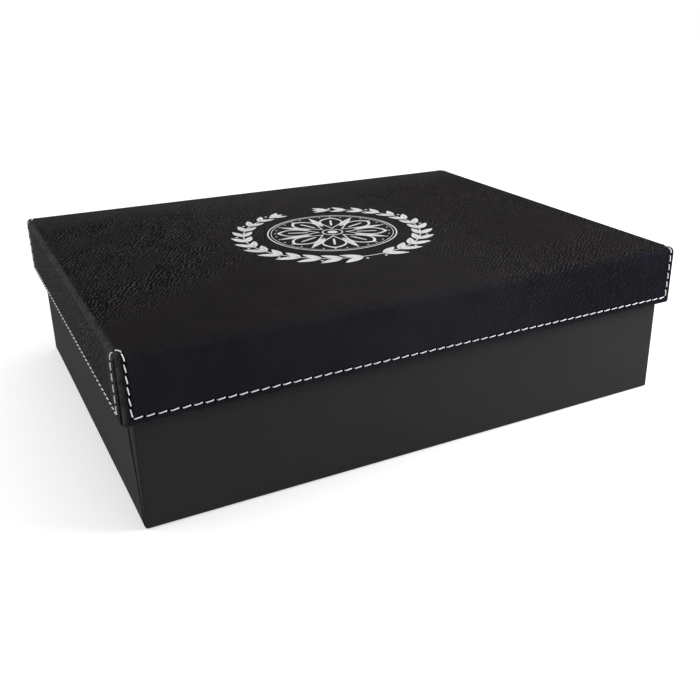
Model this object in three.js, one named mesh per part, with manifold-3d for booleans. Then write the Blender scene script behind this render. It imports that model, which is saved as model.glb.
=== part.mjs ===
// Leatherette box: a lift-off lid in stitched leatherette over a tray wrapped in black paper.
// Both are shells of greyboard panels, butted at the corners and taped there.
// Millimetres, +Z up. The origin is the middle of the underside. +X runs along the long side,
// and the front is at -Y.
import * as THREE from 'three';
import { mergeVertices } from 'three/addons/utils/BufferGeometryUtils.js';
import Module from 'manifold-3d';

const wasm = await Module();
wasm.setup();

// Driving dimensions of the closed box
const lidLength = 305;
const lidWidth = 241;
const boxHeight = 86;
const skirtHeight = 32;

// Sheets and boards
const boardThickness = 2;
const leatheretteThickness = 1.2;
const wrapThickness = 0.4;
const liningThickness = 0.4;
const floorCardThickness = 0.8;
const bottomSheetThickness = 0.3;
const tapeThickness = 0.2;
const tapeWidth = 18;

// Clearances
const glueLine = 0.1;
const lidSideClearance = 1.1;
const lidSeatClearance = 0.2;
const cuttingOverrun = 1;

// Leatherette cover of the lid
const bendRadiusShare = 1.8;
const cornerFlatShare = 0.2;
const hemThickness = 0.5;
const hemHeight = 9;
const coverSeamWidth = 0.3;

// Paper wrap of the tray
const wrapTurnIn = 15;
const wrapTurnUnder = 15;
const bottomSheetInset = 3;
const wrapSeamWidth = 0.3;
const wrapSeamInsetAtFoot = 1.5;
const wrapSeamInsetAtRim = 20;

// Thread: one run round the hem, going over an arch at each corner
const threadRadius = 0.35;
const threadBed = 0.15;
const hemLineHeight = 3.3;
const archLongInsetAtHem = 4.1;
const archLongInsetAtTop = 3.1;
const archShortInsetAtHem = 10.6;
const archShortInsetAtShoulder = 10;
const archShoulderDrop = 12;
const archCrossingInset = 6.8;
const archCrownInset = 3;
const archCrownBack = 4.6;

// Facets
const bendFacets = 3;
const archFacets = 5;
const threadSides = 6;

// Half sizes of each layer in plan, from the outside in, and the levels where layers meet
const inset = (half, by) => ({ x: half.x - by, y: half.y - by });
const bendRadius = leatheretteThickness * bendRadiusShare;
const tapeRoom = glueLine + tapeThickness + glueLine;

const lidOuter = { x: lidLength / 2, y: lidWidth / 2 };
const lidCavity = inset(lidOuter, leatheretteThickness);
const lidBoards = inset(lidCavity, tapeRoom);
const lidLining = inset(lidBoards, boardThickness + glueLine);
const lidCeilingSheet = inset(lidLining, liningThickness + glueLine);
const skirtBottom = boxHeight - skirtHeight;
const lidCavityTop = boxHeight - leatheretteThickness;
const lidPanelBottom = lidCavityTop - glueLine - boardThickness;
const lidWallTop = lidPanelBottom - glueLine;
const lidWallBottom = skirtBottom + leatheretteThickness + glueLine;
const lidCeiling = lidPanelBottom - glueLine - liningThickness;

const trayOuter = inset(lidLining, liningThickness + lidSideClearance);
const trayBoards = inset(trayOuter, wrapThickness + tapeRoom);
const trayLining = inset(trayBoards, boardThickness + glueLine);
const trayFloorCard = inset(trayLining, liningThickness + glueLine);
const trayRim = lidCeiling - lidSeatClearance;
const wrapBottom = bottomSheetThickness + glueLine;
const trayPanelBottom = wrapBottom + wrapThickness + glueLine;
const trayWallBottom = trayPanelBottom + boardThickness + glueLine;
const trayWallTop = trayRim - wrapThickness - glueLine;

// Materials
const leatherette = new THREE.MeshStandardMaterial({ color: 0x242224, roughness: 0.62, metalness: 0 });
const thread = new THREE.MeshStandardMaterial({ color: 0xe8e8e6, roughness: 0.7, metalness: 0 });
const blackPaper = new THREE.MeshStandardMaterial({ color: 0x303030, roughness: 0.8, metalness: 0 });
const liningPaper = new THREE.MeshStandardMaterial({ color: 0x1c1c1d, roughness: 0.9, metalness: 0 });
const greyboard = new THREE.MeshStandardMaterial({ color: 0x8d8a82, roughness: 0.95, metalness: 0 });
const tapePaper = new THREE.MeshStandardMaterial({ color: 0xb99a6b, roughness: 0.85, metalness: 0 });

// A closed surface with its shared points merged becomes a solid, and a solid a surface again
function toSolid(geometry) {
  const bare = geometry.clone();
  bare.deleteAttribute('normal');
  bare.deleteAttribute('uv');
  const merged = mergeVertices(bare);
  return new wasm.Manifold(new wasm.Mesh({
    numProp: 3,
    vertProperties: new Float32Array(merged.attributes.position.array),
    triVerts: new Uint32Array(merged.index.array),
  }));
}

function toGeometry(solid) {
  const surface = solid.getMesh();
  const geometry = new THREE.BufferGeometry();
  geometry.setAttribute('position', new THREE.BufferAttribute(surface.vertProperties, 3));
  geometry.setIndex(new THREE.BufferAttribute(surface.triVerts, 1));
  geometry.computeVertexNormals();
  return geometry;
}

// A box between two corners
function block(low, high) {
  const size = high.map((value, axis) => value - low[axis]);
  const middle = high.map((value, axis) => (value + low[axis]) / 2);
  const geometry = new THREE.BoxGeometry(...size);
  geometry.translate(...middle);
  return geometry;
}

// A flat sheet centred on the box's axis
function sheet(half, bottom, top) {
  return block([-half.x, -half.y, bottom], [half.x, half.y, top]);
}

function rectangle(half, radius, Outline = THREE.Shape) {
  const outline = new Outline();
  const flatX = half.x - radius;
  const flatY = half.y - radius;
  outline.moveTo(-flatX, -half.y);
  outline.lineTo(flatX, -half.y);
  if (radius > 0) outline.absarc(flatX, -flatY, radius, -Math.PI / 2, 0);
  outline.lineTo(half.x, flatY);
  if (radius > 0) outline.absarc(flatX, flatY, radius, 0, Math.PI / 2);
  outline.lineTo(-flatX, half.y);
  if (radius > 0) outline.absarc(-flatX, flatY, radius, Math.PI / 2, Math.PI);
  outline.lineTo(-half.x, -flatY);
  if (radius > 0) outline.absarc(-flatX, -flatY, radius, Math.PI, Math.PI * 1.5);
  return outline;
}

// A wall of even thickness round all four sides, with rounded outer corners
function ring(half, thickness, bottom, top, radius = 0) {
  const outline = rectangle(half, radius);
  outline.holes.push(rectangle(inset(half, thickness), 0, THREE.Path));
  const geometry = new THREE.ExtrudeGeometry(outline, {
    depth: top - bottom,
    bevelEnabled: false,
    curveSegments: bendFacets,
  });
  geometry.translate(0, 0, bottom);
  return geometry;
}

// The lid's outer form: a flat box with every edge rounded by the bend of the leatherette
function softBox(half, bottom, top) {
  const outline = rectangle(inset(half, bendRadius), leatheretteThickness * cornerFlatShare);
  const geometry = new THREE.ExtrudeGeometry(outline, {
    depth: top - bottom - bendRadius * 2,
    bevelEnabled: true,
    bevelThickness: bendRadius,
    bevelSize: bendRadius,
    bevelSegments: bendFacets,
    curveSegments: bendFacets,
  });
  geometry.translate(0, 0, bottom + bendRadius);
  return geometry;
}

const corners = [
  { name: 'front_left', signX: -1, signY: -1 },
  { name: 'front_right', signX: 1, signY: -1 },
  { name: 'back_right', signX: 1, signY: 1 },
  { name: 'back_left', signX: -1, signY: 1 },
];

function add(group, name, geometry, material) {
  const mesh = new THREE.Mesh(geometry, material);
  mesh.name = name;
  group.add(mesh);
}

// Five panels make each shell: one flat panel, two long walls, and two short walls between them
function addBoards(group, prefix, flatName, half, flatBottom, wallBottom, wallTop) {
  const inside = inset(half, boardThickness);
  const shortEnd = inside.y - glueLine;
  const walls = {
    front: [[-half.x, -half.y, wallBottom], [half.x, -inside.y, wallTop]],
    back: [[-half.x, inside.y, wallBottom], [half.x, half.y, wallTop]],
    left: [[-half.x, -shortEnd, wallBottom], [-inside.x, shortEnd, wallTop]],
    right: [[inside.x, -shortEnd, wallBottom], [half.x, shortEnd, wallTop]],
  };
  add(group, flatName, sheet(half, flatBottom, flatBottom + boardThickness), greyboard);
  for (const [side, [low, high]] of Object.entries(walls)) {
    add(group, `${prefix}_${side}_board`, block(low, high), greyboard);
  }
}

// A folded strip of tape holds each corner of a shell from outside, under its skin
function cornerTape({ signX, signY }, boards, bottom, top) {
  const inner = inset(boards, -glueLine);
  const outer = inset(inner, -tapeThickness);
  const end = inset(outer, tapeWidth);
  const outline = new THREE.Shape([
    new THREE.Vector2(signX * outer.x, signY * outer.y),
    new THREE.Vector2(signX * end.x, signY * outer.y),
    new THREE.Vector2(signX * end.x, signY * inner.y),
    new THREE.Vector2(signX * inner.x, signY * inner.y),
    new THREE.Vector2(signX * inner.x, signY * end.y),
    new THREE.Vector2(signX * outer.x, signY * end.y),
  ]);
  const geometry = new THREE.ExtrudeGeometry(outline, { depth: top - bottom, bevelEnabled: false });
  geometry.translate(0, 0, bottom);
  return geometry;
}

function addTapes(group, prefix, boards, bottom, top) {
  for (const corner of corners) {
    const name = `${prefix}_corner_tape_${corner.name}`;
    add(group, name, cornerTape(corner, boards, bottom, top), tapePaper);
  }
}

// Stitch path at one corner, from the hem of the long side up over the corner of the top and
// down to the hem of the short side. Insets are measured from the box's corner.
function archPoints(corner) {
  const hemLine = skirtBottom + hemLineHeight;
  const bendTop = boxHeight - bendRadius;
  const points = [];
  const place = (insetX, insetY, z) => {
    const x = corner.signX * (lidOuter.x - insetX);
    const y = corner.signY * (lidOuter.y - insetY);
    points.push(new THREE.Vector3(x, y, z));
  };
  place(archLongInsetAtHem, 0, hemLine);
  for (let step = 0; step <= bendFacets; step += 1) {
    const turn = (step / bendFacets) * Math.PI / 2;
    place(archLongInsetAtTop, bendRadius * (1 - Math.cos(turn)), bendTop + bendRadius * Math.sin(turn));
  }
  place(archCrownInset, archCrownBack, boxHeight);
  for (let step = bendFacets; step >= 0; step -= 1) {
    const turn = (step / bendFacets) * Math.PI / 2;
    place(bendRadius * (1 - Math.cos(turn)), archCrossingInset, bendTop + bendRadius * Math.sin(turn));
  }
  const shoulder = new THREE.QuadraticBezierCurve(
    new THREE.Vector2(archCrossingInset, bendTop),
    new THREE.Vector2(archShortInsetAtShoulder, bendTop - (archShoulderDrop - bendRadius) / 2),
    new THREE.Vector2(archShortInsetAtShoulder, boxHeight - archShoulderDrop),
  );
  for (const point of shoulder.getPoints(archFacets).slice(1)) place(0, point.x, point.y);
  place(0, archShortInsetAtHem, hemLine);
  return points;
}

// The whole run of thread: the arches joined by straight lines along the hem
class ThreadPath extends THREE.Curve {
  constructor() {
    super();
    this.stops = corners.flatMap((corner, index) => {
      const arch = archPoints(corner);
      return index % 2 === 0 ? arch.reverse() : arch;
    });
  }

  getPointAt(share) {
    const stop = Math.round(share * this.stops.length) % this.stops.length;
    return this.stops[stop].clone();
  }

  getTangentAt(share) {
    const count = this.stops.length;
    const stop = Math.round(share * count);
    const before = this.stops[(stop + count - 1) % count];
    const here = this.stops[stop % count];
    const after = this.stops[(stop + 1) % count];
    const arriving = here.clone().sub(before).normalize();
    const leaving = after.clone().sub(here).normalize();
    return arriving.add(leaving).normalize();
  }
}

function threadTube(radius) {
  const path = new ThreadPath();
  return new THREE.TubeGeometry(path, path.stops.length, radius, threadSides, true);
}

// One piece of leatherette: top, four flaps that meet at the corner seams, and a hem turned up inside
function lidCover() {
  const mouth = inset(lidLining, hemThickness);
  const seamY = lidOuter.y - leatheretteThickness - coverSeamWidth;
  const hemTop = skirtBottom + hemHeight;
  let cover = toSolid(softBox(lidOuter, skirtBottom, boxHeight));
  cover = cover.subtract(toSolid(sheet(lidCavity, skirtBottom + leatheretteThickness, lidCavityTop)));
  cover = cover.subtract(toSolid(sheet(mouth, skirtBottom - cuttingOverrun, lidCavityTop)));
  cover = cover.add(toSolid(ring(lidLining, hemThickness, skirtBottom, hemTop)));
  for (const { signX, signY } of corners) {
    const seamEnds = [signX * (mouth.x - cuttingOverrun), signX * (lidOuter.x + cuttingOverrun)];
    const seam = block(
      [Math.min(...seamEnds), signY * seamY - coverSeamWidth / 2, skirtBottom - cuttingOverrun],
      [Math.max(...seamEnds), signY * seamY + coverSeamWidth / 2, boxHeight - bendRadius],
    );
    cover = cover.subtract(toSolid(seam));
  }
  return toGeometry(cover.subtract(toSolid(threadTube(threadRadius + threadBed))));
}

// The slanted joint in the wrap on a short side: the long side's paper laps round the corner
function wrapSeam({ signX, signY }) {
  const foot = wrapBottom + wrapThickness;
  const top = trayRim - wrapThickness;
  const slope = (wrapSeamInsetAtRim - wrapSeamInsetAtFoot) / trayRim;
  const edgeAt = (z) => signY * (trayOuter.y - wrapSeamInsetAtFoot - slope * z);
  const outline = new THREE.Shape([
    new THREE.Vector2(edgeAt(foot) - wrapSeamWidth / 2, foot),
    new THREE.Vector2(edgeAt(foot) + wrapSeamWidth / 2, foot),
    new THREE.Vector2(edgeAt(top) + wrapSeamWidth / 2, top),
    new THREE.Vector2(edgeAt(top) - wrapSeamWidth / 2, top),
  ]);
  const depth = cuttingOverrun + wrapThickness + glueLine;
  const outside = trayOuter.x + cuttingOverrun;
  const geometry = new THREE.ExtrudeGeometry(outline, { depth, bevelEnabled: false });
  geometry.rotateX(Math.PI / 2);
  geometry.rotateZ(Math.PI / 2);
  geometry.translate(signX > 0 ? outside - depth : -outside, 0, 0);
  return geometry;
}

// One sheet of paper: up the four walls, over the rim, down inside and under the bottom
function trayWrap() {
  const radius = wrapThickness * bendRadiusShare;
  const rimWidth = trayOuter.x - trayLining.x + wrapThickness;
  const underside = wrapBottom + wrapThickness;
  const parts = [
    ring(trayOuter, rimWidth, trayRim - wrapThickness, trayRim, radius),
    ring(trayLining, wrapThickness, trayRim - wrapTurnIn, trayRim),
    ring(trayOuter, wrapTurnUnder, wrapBottom, underside, radius),
  ];
  let wrap = toSolid(ring(trayOuter, wrapThickness, wrapBottom, trayRim, radius));
  for (const part of parts) wrap = wrap.add(toSolid(part));
  for (const corner of corners) wrap = wrap.subtract(toSolid(wrapSeam(corner)));
  return toGeometry(wrap);
}

// The tray: boards, tapes, wrap, the sheet under its bottom, and its linings
function buildTray() {
  const tray = new THREE.Group();
  const pasted = inset(trayOuter, bottomSheetInset);
  const liningTop = trayRim - wrapTurnIn - glueLine;
  const cardTop = trayWallBottom + floorCardThickness;
  const wallLining = ring(trayLining, liningThickness, trayWallBottom, liningTop);
  addBoards(tray, 'base', 'base_bottom_board', trayBoards, trayPanelBottom, trayWallBottom, trayWallTop);
  addTapes(tray, 'base', trayBoards, trayPanelBottom, trayWallTop);
  add(tray, 'base_wrap', trayWrap(), blackPaper);
  add(tray, 'base_bottom_sheet', sheet(pasted, 0, bottomSheetThickness), blackPaper);
  add(tray, 'base_wall_lining', wallLining, liningPaper);
  add(tray, 'base_floor_card', sheet(trayFloorCard, trayWallBottom, cardTop), liningPaper);
  return tray;
}

// The lid: boards, tapes, leatherette cover, thread and linings
function buildLid() {
  const lid = new THREE.Group();
  const liningBottom = skirtBottom + hemHeight + glueLine;
  const ceilingTop = lidCeiling + liningThickness;
  const wallLining = ring(lidLining, liningThickness, liningBottom, lidWallTop);
  addBoards(lid, 'lid', 'lid_top_board', lidBoards, lidPanelBottom, lidWallBottom, lidWallTop);
  addTapes(lid, 'lid', lidBoards, lidWallBottom, lidCavityTop - glueLine);
  add(lid, 'lid_cover', lidCover(), leatherette);
  add(lid, 'lid_stitching', threadTube(threadRadius), thread);
  add(lid, 'lid_wall_lining', wallLining, liningPaper);
  add(lid, 'lid_ceiling_lining', sheet(lidCeilingSheet, lidCeiling, ceilingTop), liningPaper);
  return lid;
}

const box = new THREE.Group();
box.add(buildTray());
box.add(buildLid());

export default box;
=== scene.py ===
from math import copysign, cos, exp, pi, radians, sin, tan

import bpy
import numpy as np
from mathutils import Euler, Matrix, Vector, kdtree, noise


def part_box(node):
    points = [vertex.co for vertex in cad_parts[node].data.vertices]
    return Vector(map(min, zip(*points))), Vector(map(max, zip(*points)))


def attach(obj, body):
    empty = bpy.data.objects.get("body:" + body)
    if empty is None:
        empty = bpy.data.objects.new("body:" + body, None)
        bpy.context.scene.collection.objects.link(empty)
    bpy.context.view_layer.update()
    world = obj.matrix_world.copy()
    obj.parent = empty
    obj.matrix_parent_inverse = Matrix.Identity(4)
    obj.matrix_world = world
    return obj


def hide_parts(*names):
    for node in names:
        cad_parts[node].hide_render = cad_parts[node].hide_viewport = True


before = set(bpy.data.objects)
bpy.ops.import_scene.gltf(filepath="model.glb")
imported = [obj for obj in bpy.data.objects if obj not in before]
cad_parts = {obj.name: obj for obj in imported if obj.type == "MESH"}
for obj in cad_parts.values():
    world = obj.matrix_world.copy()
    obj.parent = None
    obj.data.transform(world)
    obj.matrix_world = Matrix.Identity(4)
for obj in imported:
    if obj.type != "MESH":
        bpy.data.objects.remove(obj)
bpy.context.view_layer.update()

# Lengths in this file are millimetres, and angles are degrees. MM turns them into Blender's metres.
# Only materials work in metres, as the coordinates that they read do.
MM = 0.001

# Camera of the photograph, with the image taken as 700 x 700
CAMERA_PLACE = (-206.77, -441.67, 223.19)
CAMERA_TURN = (67.986, 0.0, -29.18)
CAMERA_LENS = 44.155
CAMERA_SHIFT = (-0.06, -0.034)

# Leatherette cover of the lid
EDGE_RADIUS = 3.0
LIP_RADIUS = 1.1
HEM_THICKNESS = 0.5
HEM_HEIGHT = 9.0
HEM_ROUNDING = 0.7
HEM_BEVEL = 0.2
COVER_THICKNESS = 1.2
COVER_TO_HEM = 3.7
INNER_CORNER = 0.5
SWELL_HEIGHT = 0.05
SWELLS_PER_MM = 0.03
SEAM_ANGLE = 27.0
SEAM_DEPTH = 1.0
SEAM_WIDTH = 0.95
SEAM_WIDER_AT_HEM = 1.5

# Mesh of the cover: gaps between its stations, and heights of its rings over the lower edge,
# which lie closest round the two stitch lines
CORNER_REACH = 13.0
CORNER_PITCH = 0.34
FLAT_PITCH = 5.0
FINEST_PITCH = 0.05
SEAM_CLEARANCE = 0.08
CORNER_CLEARANCE = 0.6
STATIONS_BY_HOLE = (-0.45, -0.2, 0, 0.2, 0.45)
STATIONS_IN_STITCH = (0.3, 0.5, 0.7)
LOW_RINGS = (1.6, 1.9, 2.15, 2.35, 2.5, 2.65, 2.85, 3.05, 3.2, 3.35, 3.48, 3.6, 3.72, 3.85,
             4.0, 4.2, 4.5, 4.9, 5.3)
FIRST_HIGH_RING = 5.7
HIGH_RING_PITCH = 0.42

# How much of each end of a side gives way where a ring lies further in
LID_END_REACH = 20.0
WRAP_END_REACH = 40.0

# Thread and its holes
STITCH_PITCH = 5.06
THREAD_RADIUS = 0.28
HEM_LINE_HEIGHT = 3.6
SIDE_LINE_HEIGHT = 2.5
HOLE_DEPTH = 0.6
HOLE_RADIUS = 0.7
THREAD_START = 0.62
THREAD_SINK = 0.95
THREAD_RISE = 0.1
THREAD_BEND = 0.55
STITCH_SLANT = 7.5
PLY_COUNT = 3
PLY_RELIEF = 0.14
PLY_LAY = 3.0
PLY_PHASE_STEP = 1.7

# Leatherette under and beside the thread: each is a bell of a height or share and a width
PRESS_REACH = 4.0
BED_DEPTH = 0.26
BED_WIDTH = 0.5
BED_SHADE = 0.9
BED_SHADE_WIDTH = 0.85
HOLE_PULL = 0.35
HOLE_PULL_WIDTH = 1.2
PILLOW_HEIGHT = 0.1
PILLOW_PLACE = 1.7
PILLOW_WIDTH = 0.8

# Arch of thread at each corner: insets from the box's corner
ARCH_LONG_AT_HEM = 4.3
ARCH_LONG_AT_TOP = 3.9
ARCH_SHORT_AT_HEM = 8.2
ARCH_SHORT_AT_SHOULDER = 8.0
ARCH_SHOULDER_DROP = 12.0
ARCH_CROSSING = 6.8
ARCH_CROWN_INSET = 3.0
ARCH_CROWN_BULGE = 0.6
ARCH_SHOULDER_PULL = 4.5

# Paper wrap of the tray
WRAP_THICKNESS = 0.4
WRAP_CORNER_RADIUS = 0.9
WRAP_TURN_IN = 15.0
WRAP_TURN_UNDER = 15.0
WRAP_FOLD_RADIUS = 0.8
WRAP_FLAT_CORNER = 0.3
WRAP_PITCH = 6.0
WRAP_RING_PITCH = 4.0
WRAP_FINEST_PITCH = 0.09
RIM_WIDTH = 3.3
RIM_BEVEL = 0.25
WRAP_SEAM_AT_FOOT = 1.5
WRAP_SEAM_AT_RIM = 20.0
WRAP_STRIP_DEPTH = 0.12
WRAP_EDGE_RISE = 0.16
WRAP_PEEL_RISE = 0.14
WRAP_PEEL_HEIGHT = 36.0
WRAP_PEEL_SPREAD = 11.0
WRAP_SEAM_REACH = 36.0
STRIP_ON_ARC = 0.7

# Ornament on the lid: its drawing is about 100 wide before scaling
ORNAMENT_SCALE = 1.12
PRINT_BOTTOM = -0.06
PRINT_TOP = 0.05
WREATH_RADIUS = 46.0
WREATH_STEPS = 13
WREATH_STEP_ANGLE = 12.6
LEAF_LENGTH = 12.5
BERRY_RADIUS = 0.75
PETAL_COUNT = 8
DOT_COUNT = 32

# Grain of the leatherette, in metres. A scale, here and in materials, is in cells or waves per metre.
PEBBLE_SCALE = 1350.0
PEBBLE_STRETCH = (2.6, 1, 2)
PEBBLE_TURN = (0, 0, 64)
ROW_SCALE = 154.0
ROW_TURN = (0, 0, 54)
ROW_BEND_STARTS = -0.1
ROW_BEND_ALONG = 0.59
ROW_BEND_ACROSS = 1.15
ROW_SLANT_ON_SKIRT = 0.5
SMOOTH_PATCH = (0.106, -0.046, 0.086)

# Lamps as name, place, aim, size, power and colour
LAMPS = [
    ("softbox_left", (-1500, 450, 700), (0, 0, 60), 1600, 9, (1.0, 0.985, 0.975)),
    ("softbox_above", (0, 300, 1600), (0, 0, 60), 1400, 6.5, (1.0, 0.985, 0.97)),
    ("softbox_right", (430, -330, 260), (130, -120, 40), 300, 2.9, (0.96, 0.98, 1.0)),
]
FLOOR_HALF = 2500.0

# A height beyond everything, for shapes without a rounded top, and the gap between equal places
FAR = 1e6
TOLERANCE = 1e-6

FRONT, RIGHT, BACK, LEFT = range(4)


def box_mm(node):
    """Lowest and highest corner of a CAD node, in millimetres."""
    return [np.array(corner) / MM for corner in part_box(node)]


LID_LOW, LID_HIGH = box_mm("lid_cover")
TRAY_LOW, TRAY_HIGH = box_mm("base_wrap")
LID_HALF = LID_HIGH[:2]
TRAY_HALF = TRAY_HIGH[:2]
SKIRT_BOTTOM, LID_TOP = LID_LOW[2], LID_HIGH[2]
WRAP_BOTTOM, TRAY_RIM = TRAY_LOW[2], TRAY_HIGH[2]
HEM_LINE = SKIRT_BOTTOM + HEM_LINE_HEIGHT
SIDE_LINE = SKIRT_BOTTOM + SIDE_LINE_HEIGHT


# Meshes


def add_object(name, data):
    made = bpy.data.objects.new(name, data)
    bpy.context.scene.collection.objects.link(made)
    return made


def mesh_piece(name, points, faces, attributes=None, sharp_angle=50.0):
    """A new object from points in millimetres, shaded smooth but for its sharp edges."""
    mesh = bpy.data.meshes.new(name)
    mesh.from_pydata((np.asarray(points) * MM).tolist(), [], faces)
    for key, values in (attributes or {}).items():
        layer = mesh.attributes.new(key, "FLOAT", "POINT")
        layer.data.foreach_set("value", np.asarray(values, np.float32))
    mesh.validate()
    mesh.shade_smooth()
    mesh.set_sharp_from_angle(angle=radians(sharp_angle))
    return add_object(name, mesh)


def merged(points, faces, *columns):
    """Joins points that lie on each other, and drops the faces that this leaves without area."""
    keys = np.round(np.asarray(points), 5)
    _, first, place = np.unique(keys, axis=0, return_index=True, return_inverse=True)
    place = place.reshape(-1)
    cleaned = []
    for face in faces:
        corners = [int(place[corner]) for corner in face]
        following = corners[1:] + corners[:1]
        corners = [corner for corner, after in zip(corners, following) if corner != after]
        if len(set(corners)) >= 3:
            cleaned.append(corners)
    return (np.asarray(points)[first], cleaned, *[np.asarray(column)[first] for column in columns])


def spread(first, last, pitch):
    """Evenly spaced values from first to last, about pitch apart, both ends included."""
    count = max(1, round(abs(last - first) / pitch))
    return [first + (last - first) * step / count for step in range(count + 1)]


def thinned(marks, gap):
    """Sorted marks of (place, level), where those nearer than gap join at the lower level."""
    kept = []
    for place, level in sorted(marks):
        if kept and place - kept[-1][0] < gap:
            if level < kept[-1][1]:
                kept[-1] = (place, level)
        else:
            kept.append((place, level))
    return kept


def mirrored(marks):
    """Marks of half a side, measured from its middle, with those of the other half."""
    return [(-place, level) for place, level in marks] + list(marks)


def perimeter(long_marks, short_marks):
    """Stations round a rectangle from its front left corner, anticlockwise: (side, place, level)."""
    sides = (long_marks, short_marks, long_marks[::-1], short_marks[::-1])
    return [(side, place, level) for side, marks in enumerate(sides) for place, level in marks[:-1]]


def squeeze(place, half, inset, reach):
    """A place along a side whose ends move in by inset: only the last reach gives way."""
    gap = half - abs(place)
    new_gap = gap - inset if gap >= reach else gap * (reach - inset) / reach
    return copysign(half - inset - new_gap, place)


def plan_point(side, place, half, inset, reach):
    """Where a station stands in plan, on the sharp-cornered rectangle inset within half."""
    if side in (FRONT, BACK):
        along = squeeze(place, half[0], inset, reach)
        return (along, (half[1] - inset) * (-1 if side == FRONT else 1))
    along = squeeze(place, half[1], inset, reach)
    return ((half[0] - inset) * (1 if side == RIGHT else -1), along)


def rounded(points, half, top, radius):
    """Points of a sharp-edged box moved onto the rounded one, with their outward directions."""
    low = np.array([radius - half[0], radius - half[1], -FAR])
    high = np.array([half[0] - radius, half[1] - radius, top - radius])
    core = np.clip(points, low, high)
    away = points - core
    away = away / np.linalg.norm(away, axis=1, keepdims=True)
    return core + away * radius, away


def chain(places, ids, first, last):
    """Positions in ids from station first to station last, going on round the ring."""
    start, end = places[first], places[last]
    if end <= start:
        end += len(ids)
    return [step % len(ids) for step in range(start, end + 1)]


def join_rows(ids_a, start_a, ids_b, start_b):
    """Faces between two rings. One ring's stations are all among the other's."""
    shared = min(ids_a, ids_b, key=len)
    places_a = {station: index for index, station in enumerate(ids_a)}
    places_b = {station: index for index, station in enumerate(ids_b)}
    faces = []
    for first, last in zip(shared, shared[1:] + shared[:1]):
        lower = [start_a + index for index in chain(places_a, ids_a, first, last)]
        upper = [start_b + index for index in chain(places_b, ids_b, first, last)]
        faces.append(lower + upper[::-1])
    return faces


def loft(rows, closed=False):
    """Points, faces and row starts of a surface through rings of (station ids, points)."""
    starts = np.cumsum([0] + [len(ids) for ids, _ in rows]).tolist()
    faces = []
    pairs = list(zip(range(len(rows)), range(1, len(rows))))
    if closed:
        pairs.append((len(rows) - 1, 0))
    for a, b in pairs:
        faces += join_rows(rows[a][0], starts[a], rows[b][0], starts[b])
    return np.concatenate([points for _, points in rows]), faces, starts


def quarter(radius, angles):
    """Points on a rounded edge, as their distances from the two planes that it joins."""
    turns = [radians(angle) for angle in angles]
    return [(radius * (1 - cos(turn)), radius * (1 - sin(turn))) for turn in turns]


def corner_steps(radius):
    """Gaps from a sharp corner whose points divide its rounding about evenly."""
    return [radius * (1 - tan(radians(angle))) for angle in (45, 34, 22.5, 11, 0)]


# Stitch line


def on_lid(points):
    """Points near the lid moved onto its outer surface, with the outward directions."""
    return rounded(np.asarray(points, float), LID_HALF, LID_TOP, EDGE_RADIUS)


def lengths_along(line):
    """How far each point of a line lies from its start."""
    return np.concatenate([[0], np.cumsum(np.linalg.norm(np.diff(line, axis=0), axis=1))])


def points_at(at, marks, line):
    """Points at the given places on a line whose own points stand at marks."""
    return np.stack([np.interp(at, marks, line[:, axis]) for axis in range(3)], axis=1)


def evened(line, pitch=0.2):
    """A line through the same points, divided evenly at about pitch."""
    line = np.asarray(line, float)
    lengths = lengths_along(line)
    count = max(2, round(lengths[-1] / pitch) + 1)
    return points_at(np.linspace(0, lengths[-1], count), lengths, line)


def bezier(a, b, c, count):
    """Points of a quadratic curve from a to c, drawn towards b."""
    a, b, c = (np.asarray(p, float) for p in (a, b, c))
    t = np.linspace(0, 1, count)[:, None]
    return a * (1 - t) ** 2 + b * 2 * t * (1 - t) + c * t ** 2


def arch_insets():
    """The arch as (inset along the long side, inset along the short side, height), hem to hem."""
    bend_top = LID_TOP - EDGE_RADIUS
    path = [(ARCH_LONG_AT_HEM, 0, HEM_LINE), (ARCH_LONG_AT_TOP, 0, bend_top)]
    for inset, drop in quarter(EDGE_RADIUS, range(15, 91, 15)):
        path.append((ARCH_LONG_AT_TOP, inset, LID_TOP - drop))
    crown = bezier(
        (ARCH_LONG_AT_TOP, EDGE_RADIUS, LID_TOP),
        (ARCH_CROWN_INSET, ARCH_CROSSING + ARCH_CROWN_BULGE, LID_TOP),
        (EDGE_RADIUS * 0.5, ARCH_CROSSING, LID_TOP - EDGE_RADIUS * 0.14),
        12,
    )
    path += [tuple(point) for point in crown[1:]]
    for inset, drop in quarter(EDGE_RADIUS, range(48, -1, -16)):
        path.append((inset, ARCH_CROSSING, LID_TOP - drop))
    shoulder = bezier(
        (ARCH_CROSSING, bend_top, 0),
        (ARCH_SHORT_AT_SHOULDER, bend_top - ARCH_SHOULDER_PULL, 0),
        (ARCH_SHORT_AT_SHOULDER, LID_TOP - ARCH_SHOULDER_DROP, 0),
        8,
    )
    path += [(0, inset, height) for inset, height, _ in shoulder[1:]]
    path.append((0, ARCH_SHORT_AT_HEM, SIDE_LINE))
    return path


def arch_run(sign_x, sign_y):
    """The arch over one corner, from the long side's hem to the short side's."""
    return [(sign_x * (LID_HALF[0] - x), sign_y * (LID_HALF[1] - y), z) for x, y, z in arch_insets()]


def stitch_runs():
    """The thread's way round the lid as lines of points: hem, arch, hem and so on."""
    arches = [arch_run(1, -1), arch_run(1, 1)[::-1], arch_run(-1, 1), arch_run(-1, -1)[::-1]]
    runs = []
    for index, arch in enumerate(arches):
        runs += [[arches[index - 1][-1], arch[0]], arch]
    return runs


def holed_lines():
    """For each run: its line on the lid's surface, the indices of its holes, and their pitch."""
    for run in stitch_runs():
        line = evened(on_lid(evened(run))[0])
        total = lengths_along(line)[-1]
        count = round(total / STITCH_PITCH)
        yield line, np.linspace(0, len(line) - 1, count + 1), total / count


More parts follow.
